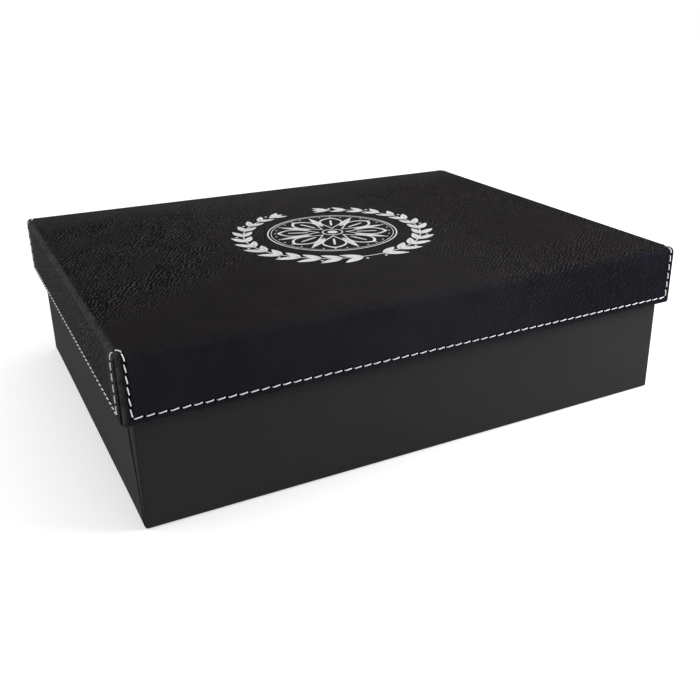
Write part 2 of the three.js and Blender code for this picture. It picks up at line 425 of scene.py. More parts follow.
def stitches():
    """Every stitch as points on the lid's surface and their outward directions."""
    made = []
    closest_at_ends = 0.5 - 0.5 * np.cos(np.linspace(0, pi, 21))
    for line, holes, pitch in holed_lines():
        share = THREAD_START / pitch
        for first, last in zip(holes, holes[1:]):
            at = first + (last - first) * (share + (1 - 2 * share) * closest_at_ends)
            made.append(on_lid(points_at(at, np.arange(len(line)), line)))
    return made


def hole_points():
    """Where the needle went through: the ends of every stitch."""
    return [line[round(hole)] for line, holes, _ in holed_lines() for hole in holes]


def tree_of(points):
    """A search tree that finds the nearest of these points."""
    tree = kdtree.KDTree(len(points))
    for index, point in enumerate(points):
        tree.insert(point, index)
    tree.balance()
    return tree


def fade(value):
    """A soft step from 0 at value 0 to 1 at value 1."""
    value = np.clip(value, 0, 1)
    return value * value * (3 - 2 * value)


def bell(distance, width):
    """1 at distance 0, falling away over about width."""
    return exp(-((distance / width) ** 2))


def press_thread(points, normals, stitched):
    """How far each point moves in under the thread, and how much painted shade darkens its bed and the
    needle holes.
    """
    path = tree_of(np.concatenate([line for line, _ in stitched]))
    holes = tree_of(hole_points())
    depth, hole = np.zeros((2, len(points)))
    for index in np.nonzero(np.abs(normals).sum(axis=1))[0]:
        gap = path.find(points[index])[2]
        if gap > PRESS_REACH:
            continue
        hole_gap = holes.find(points[index])[2]
        hole[index] = max(BED_SHADE * bell(gap, BED_SHADE_WIDTH), bell(hole_gap, HOLE_RADIUS))
        pull = 1 + HOLE_PULL * bell(hole_gap, HOLE_PULL_WIDTH)
        depth[index] = (
            BED_DEPTH * pull * bell(gap, BED_WIDTH)
            - PILLOW_HEIGHT * bell(gap - PILLOW_PLACE, PILLOW_WIDTH)
            + HOLE_DEPTH * float(fade(1 - hole_gap / HOLE_RADIUS))
        )
    return depth, hole


def swell(x, y):
    """The slight unevenness of the leatherette on the board, in millimetres."""
    return SWELL_HEIGHT * noise.noise(Vector((x * SWELLS_PER_MM, y * SWELLS_PER_MM, 3.1)))


# Leatherette cover


def seam_gaps(wider=1.0):
    """The seam's stations along a short side: (gap from the sharp corner, share of its depth).

    The shares below 0 are the leatherette that stands up beside the seam.
    """
    middle = EDGE_RADIUS * (1 - tan(radians(SEAM_ANGLE)))
    half = SEAM_WIDTH / 2
    profile = [(-half - 0.28, -0.08), (-half - 0.08, -0.12), (-half, 0.2), (-half * 0.7, 1.0)]
    profile += [(half * 0.7, 1.0), (half, 0.3), (half + 0.08, 0.06), (half + 0.25, 0.0)]
    return [(middle + offset * wider, share) for offset, share in profile]


def seam_place(place, z):
    """A seam station's place at a height: the seam opens towards the hem."""
    down = (LID_TOP - z) / (LID_TOP - SKIRT_BOTTOM)
    wider = 1 + (SEAM_WIDER_AT_HEM - 1) * float(fade(down))
    gap = LID_HALF[1] - abs(place)
    for (narrow, _), (wide, _) in zip(seam_gaps(), seam_gaps(wider)):
        if abs(gap - narrow) < TOLERANCE:
            return copysign(LID_HALF[1] - wide, place)
    return place


def lid_marks(half, is_short, hem_inset):
    """Stations along one side of the lid.

    Level 0 is on every ring, 1 on all outside the hem, and 2 on those near the stitch lines.
    """
    marks = [(half - gap, 0) for gap in corner_steps(EDGE_RADIUS)]
    if is_short:
        marks = [(place, 1) for place, _ in marks[1:]] + [marks[0]]
        widest = seam_gaps(SEAM_WIDER_AT_HEM)
        low, high = widest[0][0] - SEAM_CLEARANCE, widest[-1][0] + SEAM_CLEARANCE
        marks = [mark for mark in marks if not low < half - mark[0] < high]
        marks += [(half - gap, 0) for gap, _ in seam_gaps()]
    marks += [(half - gap, 1) for gap in spread(EDGE_RADIUS, CORNER_REACH, CORNER_PITCH)[1:]]
    marks += [(place, 0) for place in spread(0, half - CORNER_REACH, FLAT_PITCH)]
    run = (half - hem_inset) * 2
    count = round(run / STITCH_PITCH)
    pitch = run / count
    offsets = [*STATIONS_BY_HOLE, *(share * pitch for share in STATIONS_IN_STITCH)]
    for step in range(count // 2 + 1):
        hole = half - hem_inset - step * pitch
        places = [hole - offset for offset in offsets]
        marks += [(place, 2) for place in places if 0 <= place < half - CORNER_CLEARANCE]
    return thinned(mirrored(thinned(marks, FINEST_PITCH)), FINEST_PITCH)


def lid_stations():
    """Stations round the lid, with its seams and the marks of its stitches."""
    long_marks = lid_marks(LID_HALF[0], False, ARCH_LONG_AT_HEM)
    short_marks = lid_marks(LID_HALF[1], True, ARCH_SHORT_AT_HEM)
    return perimeter(long_marks, short_marks)


def lid_row(stations, level, z, inset=0.0, top=LID_TOP):
    """One ring of the cover. The corners keep their rounding as the ring moves in."""
    ids = [index for index, station in enumerate(stations) if station[2] <= level]
    sharp = []
    for index in ids:
        side, place, _ = stations[index]
        if side in (RIGHT, LEFT):
            place = seam_place(place, z)
        sharp.append((*plan_point(side, place, LID_HALF, inset, LID_END_REACH), z))
    radius = max(EDGE_RADIUS - inset, INNER_CORNER)
    return ids, *rounded(np.array(sharp), LID_HALF - inset, top, radius)


def cover_rows(stations):
    """Rings of the cover from its inner cap round the hem and up to the edge of the top.

    Each ring says whether it is on the outside, where thread and seam press into it.
    """
    cavity_top = LID_TOP - COVER_THICKNESS
    hem_top = SKIRT_BOTTOM + HEM_HEIGHT
    inner = COVER_TO_HEM + HEM_THICKNESS
    profile = [(cavity_top, COVER_THICKNESS), (SKIRT_BOTTOM + COVER_THICKNESS, COVER_THICKNESS)]
    profile += [(SKIRT_BOTTOM + COVER_THICKNESS, COVER_TO_HEM), (hem_top, COVER_TO_HEM)]
    profile += [(hem_top, inner), (SKIRT_BOTTOM + HEM_ROUNDING, inner)]
    profile += [(SKIRT_BOTTOM + HEM_BEVEL, inner - HEM_BEVEL), (SKIRT_BOTTOM, inner - HEM_ROUNDING)]
    rows = [(*lid_row(stations, 0, z, inset, FAR), False) for z, inset in profile]
    for rise, inset in quarter(LIP_RADIUS, range(0, 90, 15)):
        rows.append((*lid_row(stations, 2, SKIRT_BOTTOM + rise, inset, FAR), False))
    for height in (LIP_RADIUS, *LOW_RINGS):
        rows.append((*lid_row(stations, 2, SKIRT_BOTTOM + height), True))
    for z in spread(SKIRT_BOTTOM + FIRST_HIGH_RING, LID_TOP - EDGE_RADIUS, HIGH_RING_PITCH)[:-1]:
        rows.append((*lid_row(stations, 1, z), True))
    for gap in corner_steps(EDGE_RADIUS)[::-1]:
        rows.append((*lid_row(stations, 1, LID_TOP - gap), True))
    return rows


def cap_row(stations, z):
    """The middle line of the inner cap, where the stations of level 0 meet their opposites."""
    reach = LID_HALF[0] - LID_HALF[1]
    ids = [index for index, station in enumerate(stations) if station[2] == 0]
    points = []
    for index in ids:
        x, _ = plan_point(*stations[index][:2], LID_HALF, COVER_THICKNESS, LID_END_REACH)
        points.append((min(reach, max(-reach, x)), 0.0, z))
    return ids, np.array(points), np.zeros((len(ids), 3)), False


def top_grid(stations, ring_start, first_new):
    """The top's inner points and its faces, on the lines of the last ring's stations."""
    xs, ys = (
        [place for side, place, level in stations if side == wanted and level <= 1] + [half]
        for wanted, half in zip((FRONT, RIGHT), LID_HALF)
    )
    nx, ny = len(xs), len(ys)
    grid = np.full((nx, ny), -1)
    border = [(i, 0) for i in range(nx - 1)] + [(nx - 1, j) for j in range(ny - 1)]
    border += [(i, ny - 1) for i in range(nx - 1, 0, -1)] + [(0, j) for j in range(ny - 1, 0, -1)]
    for step, place in enumerate(border):
        grid[place] = ring_start + step
    sharp = []
    for i in range(1, nx - 1):
        for j in range(1, ny - 1):
            grid[i, j] = first_new + len(sharp)
            sharp.append((xs[i], ys[j], LID_TOP))
    points, away = rounded(np.array(sharp), LID_HALF, LID_TOP, EDGE_RADIUS)
    corners = [grid[:-1, :-1], grid[1:, :-1], grid[1:, 1:], grid[:-1, 1:]]
    return points, away, np.stack(corners, axis=2).reshape(-1, 4).tolist()


def seam_depths(stations):
    """How deep the corner seam is at each station, in millimetres."""
    depths = np.zeros(len(stations))
    for index, (side, place, _) in enumerate(stations):
        if side not in (RIGHT, LEFT):
            continue
        gap = LID_HALF[1] - abs(place)
        for seam_gap, share in seam_gaps():
            if abs(gap - seam_gap) < TOLERANCE:
                depths[index] = share * SEAM_DEPTH
    return depths


def cover_wear_and_highlight(points, normals):
    """Where the leatherette is made lighter: along the top's bends and near the short sides' ends, and
    as a painted highlight on the vertical corners and on the lip.
    """
    x, y, z = np.abs(normals).T
    bends = np.maximum(fade(2.6 * x * z) * 0.6, fade(2 * y * z) * 0.05)
    bends = np.maximum(bends, fade((y - 0.25) / 0.3) * fade(1.3 * x) * 0.9)
    from_corner = LID_HALF[1] - np.abs(points[:, 1])
    side_ends = 0.45 * (x > 0.99) * np.exp(-(((from_corner - 11.5) / 4.0) ** 2))
    lip = fade((SKIRT_BOTTOM + LIP_RADIUS - points[:, 2]) / LIP_RADIUS * 1.6) * 0.28
    lip[points[:, 2] > SKIRT_BOTTOM + LIP_RADIUS * 0.9] = 0
    lip[points[:, 2] < SKIRT_BOTTOM] = 0
    return np.maximum(np.maximum(bends, side_ends), lip)


def build_cover(stitched):
    """The leatherette: top, four flaps, corner seams, lip, and the hem turned up inside."""
    stations = lid_stations()
    rows = [cap_row(stations, LID_TOP - COVER_THICKNESS)] + cover_rows(stations)
    points, faces, starts = loft([(ids, row) for ids, row, _, _ in rows])
    normals = np.concatenate([away if outer else away * 0 for _, _, away, outer in rows])
    top_points, top_away, top_faces = top_grid(stations, starts[-2], len(points))
    points = np.concatenate([points, top_points])
    normals = np.concatenate([normals, top_away])
    faces += top_faces
    depth, hole = press_thread(points, normals, stitched)
    seam = seam_depths(stations)
    in_seam = np.zeros(len(points))
    for (ids, row, _, outer), start in zip(rows, starts):
        if outer:
            height = row[:, 2]
            open_share = fade((LID_TOP - EDGE_RADIUS * 0.3 - height) / (EDGE_RADIUS * 1.2))
            in_seam[start:start + len(ids)] = seam[ids] * open_share
    depth = depth + in_seam
    flat = normals[:, 2] > 0.999
    depth[flat] -= [swell(x, y) for x, y in points[flat, :2]]
    wear_and_highlight = cover_wear_and_highlight(points, normals)
    points = points - normals * depth[:, None]
    # Painted shade in the thread's bed, the needle holes and the open seam goes into the hole
    # attribute; the lighter bends and the painted highlights of corners and lip go into the other
    # attribute.
    seam_shade = fade(in_seam / SEAM_DEPTH * 3)
    points, faces, hole, wear_and_highlight = merged(points, faces, np.maximum(hole, seam_shade), wear_and_highlight)
    traits = {"hole": hole, "wear_and_highlight": wear_and_highlight}
    return mesh_piece("lid_leatherette", points, faces, traits, sharp_angle=60.0)


# Thread


def stitch_line(surface, away):
    """Centre line of one stitch over its surface line: out of one hole and down the next."""
    lengths = lengths_along(surface)
    out = fade(np.minimum(lengths, lengths[-1] - lengths) / THREAD_BEND)
    rise = -THREAD_SINK + (THREAD_SINK + THREAD_RISE) * out ** 0.6
    middle = (surface[0] + surface[-1]) / 2
    along = surface[-1] - surface[0]
    along /= np.linalg.norm(along)
    across = np.cross(away.mean(axis=0), along)
    across /= np.linalg.norm(across)
    offset = (surface - middle) @ along * tan(radians(STITCH_SLANT))
    return surface + away * rise[:, None] + across * offset[:, None]


def rope(line, away, phase, sides=12):
    """A tube of twisted plies along a line, with closed ends: points and faces."""
    tangents = np.gradient(line, axis=0)
    tangents /= np.linalg.norm(tangents, axis=1, keepdims=True)
    points = []
    for centre, tangent, normal, length in zip(line, tangents, away, lengths_along(line)):
        side = np.cross(tangent, normal)
        side /= np.linalg.norm(side)
        up = np.cross(side, tangent)
        twist = phase + length / PLY_LAY * 2 * pi
        for step in range(sides):
            angle = step / sides * 2 * pi + twist
            radius = THREAD_RADIUS * (1 + PLY_RELIEF * cos(PLY_COUNT * (angle - twist)))
            points.append(centre + side * cos(angle) * radius + up * sin(angle) * radius)
    faces = []
    for ring in range(len(line) - 1):
        for step in range(sides):
            a, b = ring * sides + step, ring * sides + (step + 1) % sides
            faces.append([a, b, b + sides, a + sides])
    faces.append(list(range(sides))[::-1])
    faces.append([(len(line) - 1) * sides + step for step in range(sides)])
    return points, faces


def build_stitches(stitched):
    """The white thread, one short rope for every stitch."""
    points, faces = [], []
    for index, (surface, away) in enumerate(stitched):
        line = stitch_line(surface, away)
        ring_points, ring_faces = rope(line, away, index * PLY_PHASE_STEP)
        start = len(points)
        points += ring_points
        faces += [[start + corner for corner in face] for face in ring_faces]
    return mesh_piece("lid_stitches", points, faces, sharp_angle=80.0)


# Wrap of the tray


def seam_inset(z):
    """How far from the corner the slanted seam lies on a short side, at a height."""
    share = min(1.0, max(0.0, z / TRAY_RIM))
    return WRAP_SEAM_AT_FOOT + (WRAP_SEAM_AT_RIM - WRAP_SEAM_AT_FOOT) * share


def wrap_stations():
    """Stations round the tray as (side, place, level), but for those of the slanted seams."""
    short_end = TRAY_HALF[1] - WRAP_SEAM_REACH - WRAP_PITCH / 2
    sides = []
    for half, flat_end in zip(TRAY_HALF, (TRAY_HALF[0] - WRAP_PITCH, short_end)):
        places = [half - gap for gap in corner_steps(WRAP_CORNER_RADIUS)]
        marks = [(place, 0) for place in places + spread(0, flat_end, WRAP_PITCH)]
        sides.append(thinned(mirrored(marks), WRAP_FINEST_PITCH))
    return perimeter(*sides)


def seam_stations(z):
    """Stations near a seam at height z: (gap from the corner, rise, shade of the cut edge, strip).

    The side's sheet ends at the seam and lies on the strip that comes round from the long side.
    """
    centre = seam_inset(z)
    peel = WRAP_EDGE_RISE + WRAP_PEEL_RISE * bell(z - WRAP_PEEL_HEIGHT, WRAP_PEEL_SPREAD)
    first, last = centre - 0.1, centre + 0.7
    round_end = WRAP_CORNER_RADIUS
    strip = [
        (round_end + (first - round_end) * share, -WRAP_STRIP_DEPTH * share, 0.0, 1.0)
        for share in (0.33, 0.66)
    ]
    edge = [(first, -WRAP_STRIP_DEPTH, 0.25, 1.0), (centre - 0.04, -WRAP_STRIP_DEPTH, 1.0, 1.0)]
    edge += [(centre, peel * 0.8, 1.0, 0.5), (centre + 0.08, peel, 0.15, 0.0), (last, peel, 0.0, 0.0)]
    sheet = [
        (last + (WRAP_SEAM_REACH - last) * share, peel * (1 - share) ** 2, 0.0, 0.0)
        for share in (0.1, 0.3, 0.6, 1.0)
    ]
    return strip + edge + sheet


def wrap_ring(z, inset, radius, shows_seam):
    """One ring of the wrap, with the slanted seams of the short sides worked in."""
    sharp, traits = [], []
    seam = seam_stations(z)
    arc_end = TRAY_HALF[1] - WRAP_CORNER_RADIUS
    for side, place, _ in wrap_stations():
        short = side in (RIGHT, LEFT)
        on_arc = short and abs(place) >= arc_end - TOLERANCE
        group = [(place, 0.0, 0.0, STRIP_ON_ARC if on_arc else 0.0)]
        if short and abs(abs(place) - arc_end) < TOLERANCE:
            group += [(copysign(TRAY_HALF[1] - gap, place), *trait) for gap, *trait in seam]
        starts_side = (place < 0) == (side == RIGHT)
        for along, *trait in group if starts_side else group[::-1]:
            sharp.append((*plan_point(side, along, TRAY_HALF, inset, WRAP_END_REACH), z))
            traits.append(trait)
    rises, shades, strips = np.array(traits).T * shows_seam
    points, away = rounded(np.array(sharp), TRAY_HALF - inset, FAR, radius)
    return list(range(len(points))), points + away * rises[:, None], shades, strips


def wrap_profile():
    """The wrap's section as (height, inset, radius of its corners, seam in view)."""
    outer, flat = WRAP_CORNER_RADIUS, WRAP_FLAT_CORNER
    fold = WRAP_FOLD_RADIUS
    under = WRAP_BOTTOM + WRAP_THICKNESS
    inside = RIM_WIDTH - WRAP_THICKNESS
    rows = [(under, WRAP_TURN_UNDER, flat, False), (WRAP_BOTTOM, WRAP_TURN_UNDER, flat, False)]
    angles = (0, 22.5, 45, 67.5, 90)
    for angle, (rise, inset) in zip(angles, quarter(fold, angles)):
        rows.append((WRAP_BOTTOM + rise, inset, outer, angle > 40))
    for z in spread(WRAP_BOTTOM + fold, TRAY_RIM - fold, WRAP_RING_PITCH)[1:]:
        rows.append((z, 0.0, outer, True))
    for angle, (inset, drop) in list(zip(angles, quarter(fold, angles)))[1:]:
        rows.append((TRAY_RIM - drop, inset, outer, angle < 40))
    rim = [(TRAY_RIM, RIM_WIDTH - fold), (TRAY_RIM - RIM_BEVEL, RIM_WIDTH - RIM_BEVEL)]
    rim += [(TRAY_RIM - fold, RIM_WIDTH), (TRAY_RIM - WRAP_TURN_IN, RIM_WIDTH)]
    rim += [(TRAY_RIM - WRAP_TURN_IN, inside), (TRAY_RIM - WRAP_THICKNESS, inside)]
    rows += [(z, inset, flat, False) for z, inset in rim]
    rows += [(z, WRAP_THICKNESS, INNER_CORNER, False) for z in (TRAY_RIM - WRAP_THICKNESS, under)]
    return rows


def build_wrap():
    """The black paper: up the walls, over the rim, down inside, and under the bottom."""
    rings = [wrap_ring(*row) for row in wrap_profile()]
    points, faces, _ = loft([(ids, row) for ids, row, _, _ in rings], closed=True)
    shade, strip = (np.concatenate([ring[part] for ring in rings]) for part in (2, 3))
    points, faces, shade, strip = merged(points, faces, shade, strip)
    # The hole attribute carries the painted shade at the seam's cut edge.
    traits = {"hole": shade, "strip": strip}
    return mesh_piece("tray_wrap_paper", points, faces, traits, sharp_angle=40.0)


# Ornament on the lid


class Plates:
    """Thin flat shapes on the lid's top, collected into one mesh."""

    def __init__(self):
        self.points, self.faces = [], []

    def level(self, outline):
        """Adds an outline at the print's bottom and at its top, and says where each starts."""
        start = len(self.points)
        scaled = [(x * ORNAMENT_SCALE, y * ORNAMENT_SCALE) for x, y in outline]
        for lift in (PRINT_BOTTOM, PRINT_TOP):
            self.points += [(x, y, LID_TOP + swell(x, y) + lift) for x, y in scaled]
        return start, start + len(outline)

    def strip(self, left, right, closed=False, hand=1):
        """A band between two lines of equal count. On hand 1, left lies left of the way along."""
        if hand < 0:
            left, right = right, left
        count = len(left)
        left_low, left_high = self.level(left)
        right_low, right_high = self.level(right)
        for a in range(count if closed else count - 1):
            b = (a + 1) % count
            self.faces.append([left_high + a, right_high + a, right_high + b, left_high + b])
            self.faces.append([left_low + b, right_low + b, right_low + a, left_low + a])
            self.faces.append([left_low + a, left_high + a, left_high + b, left_low + b])
            self.faces.append([right_low + b, right_high + b, right_high + a, right_low + a])
        if not closed:
            b = count - 1
            self.faces.append([left_low, right_low, right_high, left_high])
            self.faces.append([right_low + b, left_low + b, left_high + b, right_high + b])

    def disc(self, centre, radius, sides=14):
        low, high = self.level([(centre[0] + x, centre[1] + y) for x, y in circle(radius, sides)])
        self.faces.append([high + step for step in range(sides)])
        self.faces.append([low + step for step in range(sides)][::-1])
        for step in range(sides):
            after = (step + 1) % sides
            self.faces.append([low + step, low + after, high + after, high + step])


def polar(radius, angle):
    return radius * cos(angle), radius * sin(angle)


def circle(radius, sides):
    return [polar(radius, step / sides * 2 * pi) for step in range(sides)]


def turned(points, angle, origin=(0.0, 0.0)):
    """Points turned about zero and then moved by origin."""
    dx, dy = polar(1, angle)
    return [(origin[0] + x * dx - y * dy, origin[1] + x * dy + y * dx) for x, y in points]


def ring_band(plates, radius, width, sides=180):
    plates.strip(circle(radius - width / 2, sides), circle(radius + width / 2, sides), closed=True)


def leaf(plates, origin, angle, length, width, vein=0.28):
    """A leaf of two blades that leave its middle vein bare."""
    shares = [0.0, 0.08, 0.18, 0.3, 0.42, 0.55, 0.68, 0.8, 0.9, 0.97, 1.0]
    middle = [(share * length, vein / 2 * (1 - share)) for share in shares]
    bulge = [width / 2 * sin(pi * share ** 0.85) ** 0.8 for share in shares[:-1]]
    edge = [(x, y + more) for (x, y), more in zip(middle, bulge)] + [(length, 0.01)]
    for hand in (1, -1):
        blade = [turned([(x, hand * y) for x, y in line], angle, origin) for line in (edge, middle)]
        plates.strip(*blade, hand=hand)


def laurel(plates, hand):
    """One branch of the wreath, from the bottom up: hand 1 is on the right, and -1 on the left."""

    def around(degrees):
        """The angle of this branch at so many degrees from the bottom."""
        turn = radians(degrees - 90)
        return turn if hand > 0 else pi - turn

    for step in range(WREATH_STEPS):
        angle = around(7 + step * WREATH_STEP_ANGLE)
        ahead = angle + hand * pi / 2
        origin = polar(WREATH_RADIUS, angle)
        size = LEAF_LENGTH - 0.22 * step
        leaf(plates, origin, ahead - hand * 0.52, size, size * 0.34)
        leaf(plates, origin, ahead + hand * 0.5, size * 0.92, size * 0.32)
        if step % 2 == 0:
            plates.disc(polar(WREATH_RADIUS + 3.4, angle - hand * 0.02), BERRY_RADIUS)
    arc = [around(degrees) for degrees in range(0, 154, 3)]
    inner = [polar(WREATH_RADIUS - 0.3, angle) for angle in arc]
    outer = [polar(WREATH_RADIUS + 0.3, angle) for angle in arc]
    plates.strip(inner, outer, hand=hand)
    tip = around(156)
    leaf(plates, polar(WREATH_RADIUS, tip), tip + hand * pi / 2, 10.5, 3.6)


def petal(plates, angle, start, length, width, line):
    """An open petal drawn by a line of even breadth, with a dart inside it."""
    shares = [step / 16 for step in range(17)]
    shape = [(share * length, width / 2 * sin(pi * share ** 1.5) ** 0.75) for share in shares]
    scale = 1 - 2.2 * line / width
    inner_start = start + length * (1 - scale) * 0.45
    for hand in (1, -1):
        outer = [(start + x, hand * y) for x, y in shape]
        inner = [(inner_start + x * scale, hand * y * scale) for x, y in shape]
        plates.strip(turned(outer, angle), turned(inner, angle), hand=hand)
    shares = (0.28, 0.45, 0.6, 0.74)
    dart = [(start + length * share, 0.55 * sin(pi * share) + 0.05) for share in shares]
    plates.strip(turned(dart, angle), turned([(x, -y) for x, y in dart], angle))


def build_ornament():
    """A wreath of leaves round an eight-petalled rosette, in the middle of the top."""
    plates = Plates()
    laurel(plates, 1)
    laurel(plates, -1)
    ring_band(plates, 33.5, 0.7)
    ring_band(plates, 31.8, 0.35)
    petal_turn = 2 * pi / PETAL_COUNT
    for step in range(PETAL_COUNT):
        angle = step * petal_turn
        petal(plates, angle + petal_turn / 2, start=6.4, length=22.5, width=12.6, line=0.8)
        leaf(plates, polar(12, angle), angle, length=17.5, width=3.4, vein=0.4)
    for dot in circle(29.7, DOT_COUNT):
        plates.disc(dot, 0.5, 10)
    ring_band(plates, 5.2, 0.7, 60)
    plates.disc((0.0, 0.0), 2.6, 28)
    return mesh_piece("lid_ornament", plates.points, plates.faces, sharp_angle=30.0)


# Materials


def fill(socket, value):
    """Links a socket to another one, or sets it where the value is a constant."""
    if isinstance(value, bpy.types.NodeSocket):
        socket.id_data.links.new(value, socket)
    else:
        socket.default_value = value


def node(kind, inputs, **settings):
    """A new shader node with settings, in the tree of those inputs that are sockets."""
    sockets = [value for value in inputs.values() if isinstance(value, bpy.types.NodeSocket)]
    made = sockets[0].id_data.nodes.new("ShaderNode" + kind)
    for key, value in settings.items():
        setattr(made, key, value)
    for socket, value in inputs.items():
        fill(made.inputs[socket], value)
    return made


def place(tree, stretch=(1, 1, 1), turn=(0, 0, 0)):
    """Coordinates that stay with the piece, on turned axes along which looks stretch."""
    coordinates = tree.nodes.new("ShaderNodeTexCoord").outputs["Object"]
    turn = Euler([radians(angle) for angle in turn])
    inputs = {"Vector": coordinates, "Scale": stretch, "Rotation": turn}
    return node("Mapping", inputs, vector_type="TEXTURE").outputs[0]


def axes(tree):
    """The piece's X, Y and Z, each by itself."""
    return node("SeparateXYZ", {0: place(tree)}).outputs


def speckle(vector, scale, detail=3.0, roughness=0.5):
    inputs = {"Vector": vector, "Scale": scale, "Detail": detail, "Roughness": roughness}
    return node("TexNoise", inputs).outputs["Fac"]


def ranged(value, low, high, new_low, new_high):
    """A soft step: new_low up to low, and new_high from high on."""
    inputs = {"Value": value, "From Min": low, "From Max": high, "To Min": new_low, "To Max": new_high}
    return node("MapRange", inputs, interpolation_type="SMOOTHSTEP").outputs[0]


def full(noise_value):
    """A noise, which keeps near 0.5, spread over 0 to 1."""
    return ranged(noise_value, 0.3, 0.7, 0, 1)


def calc(operation, a, b):
    return node("Math", {0: a, 1: b}, operation=operation).outputs[0]


def plus(a, b):
    return calc("ADD", a, b)


def times(a, b):
    return calc("MULTIPLY", a, b)


def larger(a, b):
    return calc("MAXIMUM", a, b)


def vector_calc(operation, a, b=(0, 0, 0)):
    """Arithmetic on vectors. The outputs are a Vector or, for a length or distance, a Value."""
    return node("VectorMath", {0: a, 1: b}, operation=operation).outputs


def blended(factor, a, b, blend="MIX"):
    inputs = {0: factor, 6: a, 7: b}
    return node("Mix", inputs, data_type="RGBA", blend_type=blend).outputs[2]


def attribute(tree, name):
    reader = tree.nodes.new("ShaderNodeAttribute")
    reader.attribute_name = name
    return reader.outputs["Fac"]


def surface(name):
    """A new material and its tree."""
    material = bpy.data.materials.new(name)
    material.use_nodes = True
    return material, material.node_tree


def shade(material, values):
    """Links or sets sockets of the material's shader, and returns the material."""
    shader = material.node_tree.nodes["Principled BSDF"]
    for socket, value in values.items():
        fill(shader.inputs[socket], value)
    return material


def finished(material, colour, roughness, height, bump_depth, specular):
    """The material with these values, which are sockets or constants. The height makes bumps."""
    bump = node("Bump", {"Height": height, "Distance": bump_depth * MM, "Strength": 1.0})
    values = {"Base Color": colour, "Roughness": roughness, "Normal": bump.outputs[0]}
    return shade(material, {**values, "Specular IOR Level": specular})


def grey(value, tint=(1, 1, 1)):
    return (*(value * part for part in tint), 1)


def wavy(vector, scale, reach):
    """Coordinates pushed about by up to half of reach, so that straight rows waver."""
    wobble = node("TexNoise", {"Vector": vector, "Scale": scale, "Detail": 2.0})
    centred = vector_calc("SUBTRACT", wobble.outputs["Color"], (0.5, 0.5, 0.5))["Vector"]
    push = vector_calc("MULTIPLY", centred, (reach, reach, reach))["Vector"]
    return vector_calc("ADD", vector, push)["Vector"]


def pebbles(tree):
    """Grain of the leatherette: 0 in its creases, up to 1 on pebbles that stand in wavering rows.

    The rows bend more and more towards the right of the top, and slant where they go down the skirt.
    """
    cells = wavy(place(tree, PEBBLE_STRETCH, PEBBLE_TURN), 110.0, 0.0014)
    inputs = {"Vector": cells, "Scale": PEBBLE_SCALE, "Randomness": 0.85}
    gaps = node("TexVoronoi", inputs, feature="DISTANCE_TO_EDGE").outputs["Distance"]
    x, y, z = axes(tree)
    from_left = calc("SUBTRACT", x, ROW_BEND_STARTS)
    bend = plus(times(from_left, ROW_BEND_ALONG), times(y, ROW_BEND_ACROSS))
    bend = times(bend, from_left)
    shift = plus(bend, times(z, ROW_SLANT_ON_SKIRT))
    shift = node("CombineXYZ", {"Y": shift}).outputs[0]
    slanted = wavy(place(tree, turn=ROW_TURN), 50.0, 0.007)
    across_rows = vector_calc("ADD", slanted, shift)["Vector"]
    inputs = {"Vector": across_rows, "Scale": ROW_SCALE, "Distortion": 5.5, "Detail": 1.5}
    rows = node("TexWave", inputs, bands_direction="Y").outputs["Fac"]
    pebble = ranged(gaps, 0.04, 0.28, 0, 1)
    return times(pebble, ranged(rows, 0.27, 0.7, 0.04, 1))


def grain_zones(tree):
    """How deep the grain is, in drifting patches, and the dullness of the leatherette, which also
    darkens the colour towards the left and right ends and lightens it on the left skirt and towards the
    back, where the lighter colour is a painted sheen.
    """
    x, y, z = axes(tree)
    from_front_left = calc("SUBTRACT", y, times(x, 0.7))
    left = times(ranged(x, -0.08, 0.03, 1, 0.1), ranged(from_front_left, 0, 0.04, 0.02, 1))
    drifting = wavy(place(tree), 30.0, 0.03)
    from_smooth = vector_calc("DISTANCE", drifting, SMOOTH_PATCH)["Value"]
    round_smooth = ranged(from_smooth, 0.018, 0.042, 0.25, 1)
    right = times(ranged(x, 0, 0.07, 0.07, 0.56), round_smooth)
    right = times(right, ranged(z, 0.0835, 0.0861, 0.38, 1))
    left_skirt = ranged(x, -0.1515, -0.149, 1, 0)
    skirt_grain = times(left_skirt, ranged(y, -0.12, -0.085, 0.3, 0.13))
    before_back = ranged(y, 0.075, 0.118, 1, 0.15)
    zone = times(larger(larger(left, right), skirt_grain), before_back)
    patches = speckle(place(tree, (2, 1, 1), (0, 0, 50)), 44.0)
    strength = times(zone, ranged(patches, 0.34, 0.5, 0.3, 1))
    dull_and_painted_sheen = larger(ranged(x, -0.13, 0, 1, 0.55), ranged(x, 0.03, 0.1, 0.55, 0.9))
    on_top = calc("SUBTRACT", 1.0, times(left_skirt, 0.5))
    return strength, times(times(dull_and_painted_sheen, before_back), on_top)


